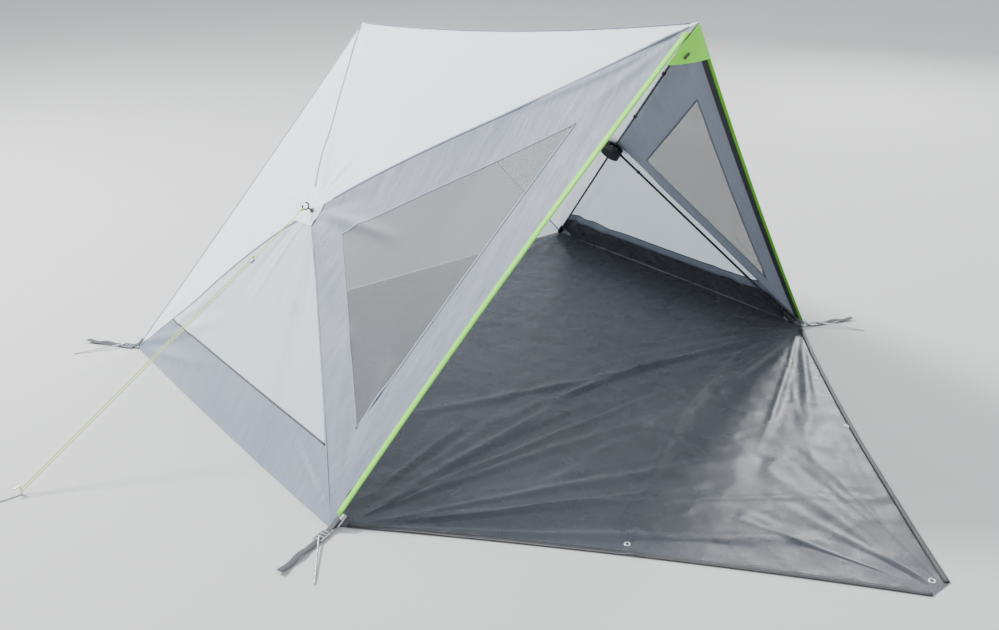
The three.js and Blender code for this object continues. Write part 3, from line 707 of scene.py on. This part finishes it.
def fine_mesh(name, colour, pitch, thread):
    """Insect mesh: threads both ways, and holes between them that show what is behind."""
    finish, tree, shader = finish_of(name, colour, 0.6)
    tint(tree, shader, colour, tuple(c * 0.8 for c in colour), ramp_of(tree, noise(tree, 3, 3), 0, 1))
    place = tree.nodes.new("ShaderNodeTexCoord")
    covers = []
    for direction in ("X", "Y"):
        yarn = tree.nodes.new("ShaderNodeTexWave")
        yarn.bands_direction = direction
        yarn.inputs["Scale"].default_value = 2 * math.pi / 20 / pitch
        tree.links.new(place.outputs["UV"], yarn.inputs["Vector"])
        cover = tree.nodes.new("ShaderNodeMath")
        cover.operation = "GREATER_THAN"
        cover.inputs[1].default_value = thread
        tree.links.new(yarn.outputs["Fac"], cover.inputs[0])
        covers.append(cover.outputs["Value"])
    either = tree.nodes.new("ShaderNodeMath")
    either.operation = "MAXIMUM"
    tree.links.new(covers[0], either.inputs[0])
    tree.links.new(covers[1], either.inputs[1])
    clear = tree.nodes.new("ShaderNodeBsdfTransparent")
    mix = tree.nodes.new("ShaderNodeMixShader")
    out = tree.nodes["Material Output"]
    tree.links.new(either.outputs["Value"], mix.inputs["Fac"])
    tree.links.new(clear.outputs["BSDF"], mix.inputs[1])
    tree.links.new(shader.outputs["BSDF"], mix.inputs[2])
    tree.links.new(mix.outputs["Shader"], out.inputs["Surface"])
    return finish


window_mesh = fine_mesh("grey_insect_mesh", (0.082, 0.088, 0.099), 0.0016, 0.42)

for side in sides:
    c = side.corner
    upper = grey_upper / altitude(c["front_foot"], side.hub, c["front_apex"])
    front = grey_front / altitude(side.hub, c["front_foot"], c["front_apex"])
    low = grey_lower / altitude(c["front_apex"], side.hub, c["front_foot"])
    # shares are of hub, front apex and front foot
    by_hub = (1 - upper - low, low, upper)
    by_foot = (front, low, 1 - front - low)
    by_apex = (front, 1 - front - upper, upper)
    hub_end, front_end = (1 - upper, 0, upper), (0, 1 - upper, upper)
    bands = [
        (hub_share, start_share, front_end, hub_end),
        (hub_end, by_hub, by_foot, end_share),
        (front_end, by_apex, by_foot, end_share),
    ]
    side.window_corners = [by_hub, by_foot, by_apex]
    side.band_line = [hub_end, front_end]
    patches = [
        side.surface("front_apex", "front_foot", between(region, 16, 70)) for region in bands
    ]
    piece = cloth_mesh(f"{side.name}_grey_bands", patches, grey_cloth)
    move_with_hub(piece)
    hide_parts(f"{side.name}_front_band")
    declare_sheet(piece, strip_width=grey_upper)
    panel(
        side,
        "window",
        "front_apex",
        "front_foot",
        [(by_hub, by_hub, by_foot, by_apex)],
        window_mesh,
        "mesh_window",
    )

# ---- Rear wall ----
# A triangle of pale cloth between the two rear edges, sewn to the groundsheet.
wall_rows, wall_columns = 50, 60
v, u = np.meshgrid(np.linspace(0, 1, wall_rows), np.linspace(0, 1, wall_columns), indexing="ij")
left_edge = sides[0].outer_edge("rear_foot", "rear_apex", 1 - v)
right_edge = sides[1].outer_edge("rear_foot", "rear_apex", 1 - v)
grid = left_edge * (1 - u)[..., None] + right_edge * u[..., None]
wall_creases = crease_lines((-half_width, 0), 0.5, 0.9, 7, 0.6, 0.012, 0.004)
wall_creases += crease_lines((half_width, 0), math.pi - 0.5, 0.9, 7, 0.6, 0.012, 0.004)
ripple = crease_height(wall_creases, grid[..., 0], grid[..., 2])
inside = np.clip(4 * u * (1 - u), 0, 1) * np.clip(4 * v * (1 - v), 0, 1)
grid[..., 1] += inside * (ripple + 0.006)
flat = np.stack([grid[..., 0], grid[..., 2]], axis=-1)
rear_wall = cloth_mesh("rear_wall_cloth", [(grid, flat)], pale_cloth)
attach(rear_wall, "root")
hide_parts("rear_wall")
declare_sheet(rear_wall)

# ---- Seam tapes ----
# Every seam is lapped and taped. The pole seams and the window frame have narrow grey tapes, and
# the skirt's upper seam is stitched in black.
tape_width = 0.007
tape_thickness = 0.0016

seam_tape = toothed("grey_seam_tape", (0.16, 0.18, 0.225), 0.0035, 0.55)
black_stitch = toothed("black_stitched_tape", (0.035, 0.037, 0.042), 0.0035, 0.6)


def face_line(side, start, end, a, b, steps=60, lift=0.0):
    """A straight line across a face, between two places given as shares."""
    t = np.linspace(0, 1, steps)[:, None]
    shares = np.array(a, float) * (1 - t) + np.array(b, float) * t
    points, _ = side.surface(start, end, shares, lift)
    return points


def tape(side, name, points, width, finish):
    """A sewn tape that lies on a side's cloth and shows on both faces."""
    piece = ribbon(f"{side.name}_{name}", points, side.out, width, tape_thickness, finish)
    move_with_hub(piece)
    return piece


for side in sides:
    near = 0.93
    for corner, other in (
        ("front_apex", "front_foot"),
        ("front_foot", "rear_foot"),
        ("rear_foot", "rear_apex"),
        ("rear_apex", "front_apex"),
    ):
        points = face_line(side, corner, other, (near, 1 - near, 0), (0.02, 0.98, 0))
        tape(side, f"{corner}_seam", points, tape_width, seam_tape)
    points = face_line(side, "front_foot", "rear_foot", (hem, 1 - hem, 0), (hem, 0, 1 - hem))
    tape(side, "skirt_seam", points, 0.007, black_stitch)
    top = tub_height / hub_height
    hem_ends = ((top, 1 - top, 0), (top, 0, 1 - top))
    points = face_line(side, "front_foot", "rear_foot", *hem_ends, lift=-tub_clearance)
    tape(side, "tub_hem", points, 0.010, seam_tape)
    corners = side.window_corners
    for i in range(3):
        a, b = corners[i], corners[(i + 1) % 3]
        points = face_line(side, "front_apex", "front_foot", a, b)
        tape(side, f"window_tape_{i + 1}", points, tape_width, seam_tape)

# ---- Lime bindings, opening zips and apex patch ----
# A lime green woven binding is folded over each edge of the opening, a black coil zip runs
# just inside it, and a lime patch with a toggle closes the top of the opening.
binding_width = 0.020
binding_thickness = 0.004
patch_drop = 0.105

lime = coated_cloth(
    "lime_binding", (0.25, 0.82, 0.05), (0.20, 0.72, 0.04), 0.5, 0.18, pitch=0.002, rumple=0.0006
)


def edge_line(side, inset_by, lift, first=0.02, last=0.985, steps=90):
    """A line that runs beside the opening's edge, from its foot up to the apex."""
    deep = inset_by / altitude(side.hub, side.corner["front_foot"], side.corner["front_apex"])
    t = np.linspace(first, last, steps)
    shares = np.stack([np.full(steps, deep), (1 - deep) * t, (1 - deep) * (1 - t)], axis=-1)
    points, _ = side.surface("front_apex", "front_foot", shares, lift)
    return points


for side in sides:
    line = edge_line(side, binding_width / 2, 0)
    piece = ribbon(
        f"{side.name}_lime_binding", line, side.out, binding_width, binding_thickness, lime
    )
    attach(piece, "root")
    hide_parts(f"{side.name}_front_binding")
    line = edge_line(side, binding_width + 0.004, -0.003, 0.03, 0.95)
    coil = ribbon(f"{side.name}_opening_zip", line, side.out, 0.008, 0.003, black_zip)
    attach(coil, "root")
    line = edge_line(side, binding_width + 0.002, -0.0060, 0.02, 0.95)
    guard = ribbon(f"{side.name}_zip_guard", line, side.out, 0.022, 0.0015, black_stitch)
    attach(guard, "root")

patch_rows = 20
t = np.linspace(0.0, 1.0, patch_rows)
share = 1 - t * patch_drop / (front_apex[2] - hem_height)
left_edge = sides[0].outer_edge("front_apex", "front_foot", 1 - share)
right_edge = sides[1].outer_edge("front_apex", "front_foot", 1 - share)
u = np.linspace(0, 1, 24)[None, :, None]
grid = left_edge[:, None, :] * (1 - u) + right_edge[:, None, :] * u
belly = np.sin(math.pi * u[..., 0]) * t[:, None]
grid[..., 1] -= 0.004 + 0.008 * belly
grid[..., 2] -= 0.002 * belly
flat = np.stack([grid[..., 0], grid[..., 2]], axis=-1)
patch = cloth_mesh("lime_apex_patch", [(grid, flat)], lime)
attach(patch, "root")
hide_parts("apex_patch")
declare_sheet(patch)

toggle_place = (-0.028, -0.955 + 0.19 * patch_drop - 0.014, 1.260 - 0.80 * patch_drop)
toggle_line = [
    (toggle_place[0] - 0.009, toggle_place[1], toggle_place[2] - 0.006),
    toggle_place,
    (toggle_place[0] + 0.009, toggle_place[1], toggle_place[2] + 0.006),
]
toggle = ribbon("apex_toggle", toggle_line, (0, -1, 0), 0.006, 0.005, black_stitch)
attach(toggle, "root")

t = np.linspace(0.015, 0.985, 60)
line = sides[0].outer_edge("rear_apex", "front_apex", t)
ridge_tape = ribbon("ridge_tape", line, (0, 0, 1), 0.014, 0.003, seam_tape)
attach(ridge_tape, "root")
for side in sides:
    line = side.outer_edge("rear_foot", "rear_apex", t)
    piece = ribbon(f"{side.name}_rear_edge_tape", line, side.out, 0.012, 0.003, seam_tape)
    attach(piece, "root")

# ---- Hubs, poles and fittings ----
# Moulded black nylon hubs hold a steel ring on which four glass-fibre poles pivot. The pole tips
# run in moulded sockets at the feet and under the ridge.


def moulded(name, colour, roughness, grain=260.0):
    """Moulded plastic with a fine grain, worn a little paler in patches."""
    finish, tree, shader = finish_of(name, colour, roughness)
    shader.inputs["Specular IOR Level"].default_value = 0.45
    worn = ramp_of(tree, noise(tree, 35.0, 5), 0.0, 1.0, 0.45, 0.8)
    tint(tree, shader, colour, tuple(c * 1.6 + 0.01 for c in colour), worn)
    uneven = ramp_of(tree, noise(tree, 90.0, 4), roughness - 0.08, roughness + 0.12)
    tree.links.new(uneven, shader.inputs["Roughness"])
    raise_by(tree, shader, noise(tree, grain, 2), 0.0002, 0.5)
    return finish


black_nylon = moulded("black_nylon", (0.018, 0.018, 0.020), 0.42)
black_glassfibre = moulded("black_glassfibre", (0.012, 0.012, 0.014), 0.25, 90.0)
grey_acetal = moulded("grey_acetal", (0.20, 0.21, 0.235), 0.40)


def refinish(node, finish):
    """A CAD node keeps its shape and gets a real finish."""
    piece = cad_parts[node]
    piece.data.materials.clear()
    piece.data.materials.append(finish)


for side in sides:
    for part_name in ("hub_body", "hub_cap", "front_foot", "rear_foot", "guy_hook"):
        refinish(f"{side.name}_{part_name}", black_nylon)
    refinish(f"{side.name}_hub_ring", plated_steel)
    refinish(f"{side.name}_zip_slider", plated_steel)
    for corner in ("front_apex", "front_foot", "rear_foot", "rear_apex"):
        refinish(f"{side.name}_{corner}_pole", black_glassfibre)
refinish("front_apex_fitting", black_nylon)
refinish("rear_apex_fitting", black_nylon)

# ---- Pole ties and corner tabs ----
# Short black webbing ties hold the poles to the cloth, and a pale patch is sewn inside each foot.
tie_places = {"front_apex": (0.36, 0.74), "front_foot": (0.12,)}
tie_width = 0.012
tie_radius = 0.0065
tie_bore = 0.0049
inner_tab_top, inner_tab_width = 0.085, 0.055  # shares of the face

for side in sides:
    for corner, places in tie_places.items():
        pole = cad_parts[f"{side.name}_{corner}_pole"].data
        spots = np.array([v.co[:] for v in pole.vertices])
        middle = spots.mean(axis=0)
        way = np.linalg.svd(spots - middle, full_matrices=False)[2][0]
        way = way if way @ (side.corner[corner] - side.hub) > 0 else -way
        ends = (spots - middle) @ way
        for i, share in enumerate(places):
            core = spots[np.abs(ends - ends.max()) < 0.02].mean(axis=0)
            place = core - way * (ends.max() - ends.min()) * (1 - share)
            rim = [
                (tie_bore, -tie_width / 2),
                (tie_radius, -tie_width / 2),
                (tie_radius, tie_width / 2),
                (tie_bore, tie_width / 2),
            ]
            tie = turned(f"{side.name}_{corner}_tie_{i + 1}", rim, 20, black_stitch, place, way)
            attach(tie, f"{side.name}_{corner}_pole")

    for corner in ("front_foot", "rear_foot"):
        region = (
            (0.004, 0.994, 0.002),
            (inner_tab_top, 1 - inner_tab_top, 0),
            (0.02, 0.98 - inner_tab_width, inner_tab_width),
            (0.004, 0.996 - inner_tab_width, inner_tab_width),
        )
        if corner == "rear_foot":
            region = [(hub, rear, front) for hub, front, rear in region]
        shares = between(region, 8, 8)
        patches = [side.surface("front_foot", "rear_foot", shares, -tub_clearance - 0.002)]
        tab = cloth_mesh(f"{side.name}_{corner}_inner_tab", patches, pale_cloth)
        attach(tab, "root")
        declare_sheet(tab)

# ---- Hub patches ----
# A white cloth patch is sewn over the peak of each side, under the foot of the guy hook.
patch_reach = {"front_apex": 0.055, "front_foot": 0.065, "rear_foot": 0.075, "rear_apex": 0.105}
patch_lift = 0.0028

for side in sides:
    patches = []
    for corner, other in (
        ("front_apex", "front_foot"),
        ("front_foot", "rear_foot"),
        ("rear_foot", "rear_apex"),
        ("rear_apex", "front_apex"),
    ):
        a = patch_reach[corner] / np.linalg.norm(side.corner[corner] - side.hub)
        b = patch_reach[other] / np.linalg.norm(side.corner[other] - side.hub)
        region = (hub_share, hub_share, (1 - b, 0, b), (1 - a, a, 0))
        patches.append(side.surface(corner, other, between(region, 10, 12), patch_lift))
    piece = cloth_mesh(f"{side.name}_peak_patch", patches, white_cloth)
    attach(piece, f"{side.name}_hub")
    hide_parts(f"{side.name}_hub_patch")
    declare_sheet(piece)

# ---- Corner straps, buckles and pegs ----
# Grey webbing is sewn to each corner, passes through a ladder buckle and ends in a loose tail.
# The steel pegs lie in the buckles' outer windows.
webbing_width = 0.020
webbing_thickness = 0.0018
strap_turn = {"front": 22.0, "rear": -53.0}
tab_height = 0.036  # how far the webbing is sewn up the corner's seam
strap_bend = 0.016  # from the corner out to where the webbing meets the ground
strap_steps = 14
flat_steps = 4  # steps that pass through the buckle before the tail ripples
strap_tail = 0.150
strap_ripple = 0.003
buckle_out = 0.062  # from the corner to the middle of the buckle

webbing = toothed("grey_webbing", (0.045, 0.048, 0.056), 0.0022, 0.7)

for side in sides:
    for end in ("front", "rear"):
        refinish(f"{side.name}_{end}_buckle", grey_acetal)
        refinish(f"{side.name}_{end}_peg", plated_steel)
        corner = Vector(side.corner[f"{end}_foot"])
        turn = math.radians(strap_turn[end])
        way = Vector((side.right * math.cos(turn), -math.sin(turn), 0))
        lean = Vector(side.corner["front_apex" if end == "front" else "rear_apex"]) - corner
        lean.normalize()
        tab_top = corner + lean * tab_height + 0.004 * Vector(side.out)
        tab_low = corner + lean * 0.010 + 0.005 * Vector(side.out)
        spine = [tab_top, tab_low, corner + way * strap_bend + Vector((0, 0, 0.0045))]
        rises = [side.out, side.out, 0.5 * side.out + np.array([0, 0, 0.5])]
        reach = buckle_out + strap_tail
        for k in range(1, strap_steps + 1):
            share = k / strap_steps
            out_by = strap_bend + (reach - strap_bend) * share
            wave = strap_ripple * (1 - math.cos(5 * math.pi * share)) * (k > flat_steps)
            spine.append(corner + way * out_by + Vector((0, 0, 0.0030 - corner.z + 0.002 + wave)))
            rises.append(np.array([0, 0, 1.0]))
        strap = ribbon(
            f"{side.name}_{end}_webbing", spine, rises, webbing_width, webbing_thickness, webbing
        )
        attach(strap, "root")
        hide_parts(f"{side.name}_{end}_strap")
refinish("guy_peg", plated_steel)
refinish("guy_slider", grey_acetal)

# ---- Guy line ----
# Pale lime braided cord: tied to the hook, through the slider, round the peg and back up to the
# slider, where it ends in a knot. It is pulled tight, so it runs straight.
guy_diameter = 0.0032
guy_route = [
    (-0.7045, -0.0190, 0.6559),
    (-0.7400, -0.0193, 0.6319),
    (-0.7800, -0.0208, 0.6049),
    (-0.8200, -0.0236, 0.5779),
    (-0.8500, -0.0252, 0.5576),
    (-0.8720, -0.0255, 0.5428),
    (-0.8906, -0.0255, 0.5302),
    (-0.9100, -0.0255, 0.5171),
    (-1.0000, -0.0255, 0.4563),
    (-1.1500, -0.0255, 0.3550),
    (-1.3000, -0.0255, 0.2537),
    (-1.4500, -0.0255, 0.1524),
    (-1.5800, -0.0255, 0.0646),
    (-1.6400, -0.0255, 0.0241),
    (-1.6500, -0.0255, 0.0176),
    (-1.6550, -0.0255, 0.0146),
    (-1.6596, -0.0236, 0.0128),
    (-1.6615, -0.0190, 0.0124),
    (-1.6596, -0.0144, 0.0128),
    (-1.6550, -0.0125, 0.0146),
    (-1.6500, -0.0125, 0.0176),
    (-1.6400, -0.0125, 0.0241),
    (-1.5800, -0.0125, 0.0646),
    (-1.4500, -0.0125, 0.1524),
    (-1.3000, -0.0125, 0.2537),
    (-1.1500, -0.0125, 0.3550),
    (-1.0000, -0.0125, 0.4563),
    (-0.9100, -0.0125, 0.5171),
    (-0.8806, -0.0125, 0.5370),
]


def tube(name, route, radius, finish, sides_round=10, step=0.01):
    """A round cord along a line of points, with flat coordinates along and round it."""
    route = np.array(route)
    lengths = np.concatenate([[0], np.cumsum(np.linalg.norm(np.diff(route, axis=0), axis=1))])
    marks = [0.0]
    for a, b in zip(lengths[:-1], lengths[1:]):
        pieces_here = max(1, int(round((b - a) / step)))
        marks += [a + (b - a) * (k + 1) / pieces_here for k in range(pieces_here)]
    centres = np.stack([np.interp(marks, lengths, route[:, i]) for i in range(3)], axis=-1)
    tangents = np.gradient(centres, axis=0)
    tangents /= np.linalg.norm(tangents, axis=1)[:, None]
    side_way = np.cross(tangents[0], [0, 0, 1.0])
    points = []
    for centre, way in zip(centres, tangents):
        side_way = side_way - way * (side_way @ way)
        side_way /= np.linalg.norm(side_way)
        other = np.cross(way, side_way)
        for k in range(sides_round):
            angle = 2 * math.pi * k / sides_round
            points.append(centre + radius * (math.cos(angle) * side_way + math.sin(angle) * other))
    faces = [tuple(range(sides_round - 1, -1, -1))]
    for i in range(len(centres) - 1):
        for k in range(sides_round):
            a, b = i * sides_round + k, i * sides_round + (k + 1) % sides_round
            faces.append((a, b, b + sides_round, a + sides_round))
    last = (len(centres) - 1) * sides_round
    faces.append(tuple(range(last, last + sides_round)))
    mesh = bpy.data.meshes.new(name)
    mesh.from_pydata([tuple(p) for p in points], [], faces)
    layer = mesh.uv_layers.new(name="flat")
    for face in mesh.polygons:
        seam_face = len({mesh.loops[i].vertex_index % sides_round for i in face.loop_indices}) == 2
        for i in face.loop_indices:
            row, k = divmod(mesh.loops[i].vertex_index, sides_round)
            columns = [mesh.loops[j].vertex_index % sides_round for j in face.loop_indices]
            if seam_face and k == 0 and max(columns) == sides_round - 1:
                k = sides_round
            layer.data[i].uv = (marks[row], k / sides_round * 2 * math.pi * radius)
    mesh.materials.append(finish)
    mesh.shade_smooth()
    piece = bpy.data.objects.new(name, mesh)
    bpy.context.scene.collection.objects.link(piece)
    return piece


def braided(name, colour, pitch):
    """Braided cord: two slanting sets of yarns, with painted shade in the gaps between them."""
    finish, tree, shader = finish_of(name, colour, 0.62)
    place = tree.nodes.new("ShaderNodeTexCoord")
    yarns = tree.nodes.new("ShaderNodeTexWave")
    yarns.bands_direction = "DIAGONAL"
    yarns.inputs["Scale"].default_value = 2 * math.pi / 20 / pitch / 2
    tree.links.new(place.outputs["UV"], yarns.inputs["Vector"])
    # The gaps between the yarns are painted darker, following the same wave as the bump: painted shade
    # in the grooves.
    tint(tree, shader, tuple(c * 0.7 for c in colour), colour, yarns.outputs["Fac"])
    raise_by(tree, shader, yarns.outputs["Fac"], 0.0005, 0.8)
    return finish


guy_braid = braided("pale_lime_braid", (0.62, 0.80, 0.16), 0.0035)
guy_line = tube("guy_cord", guy_route, guy_diameter / 2, guy_braid)
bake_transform(guy_line)
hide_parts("guy_line")
for label, place, way in (
    ("guy_hook_knot", guy_route[0], np.subtract(guy_route[1], guy_route[0])),
    ("guy_end_knot", guy_route[-1], np.subtract(guy_route[-1], guy_route[-2])),
):
    way = way / np.linalg.norm(way)
    spin = np.cross(way, [0, 1.0, 0])
    spin /= np.linalg.norm(spin)
    other = np.cross(way, spin)
    wraps = []
    for k in range(37):
        angle = 2 * math.pi * 3 * k / 36
        run = 0.009 * (k / 36 - 0.5)
        wraps.append(place + way * run + 0.0031 * (math.cos(angle) * spin + math.sin(angle) * other))
    knot = tube(label, wraps, guy_diameter / 2, guy_braid, 8, 0.003)
    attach(knot, "left_hub")
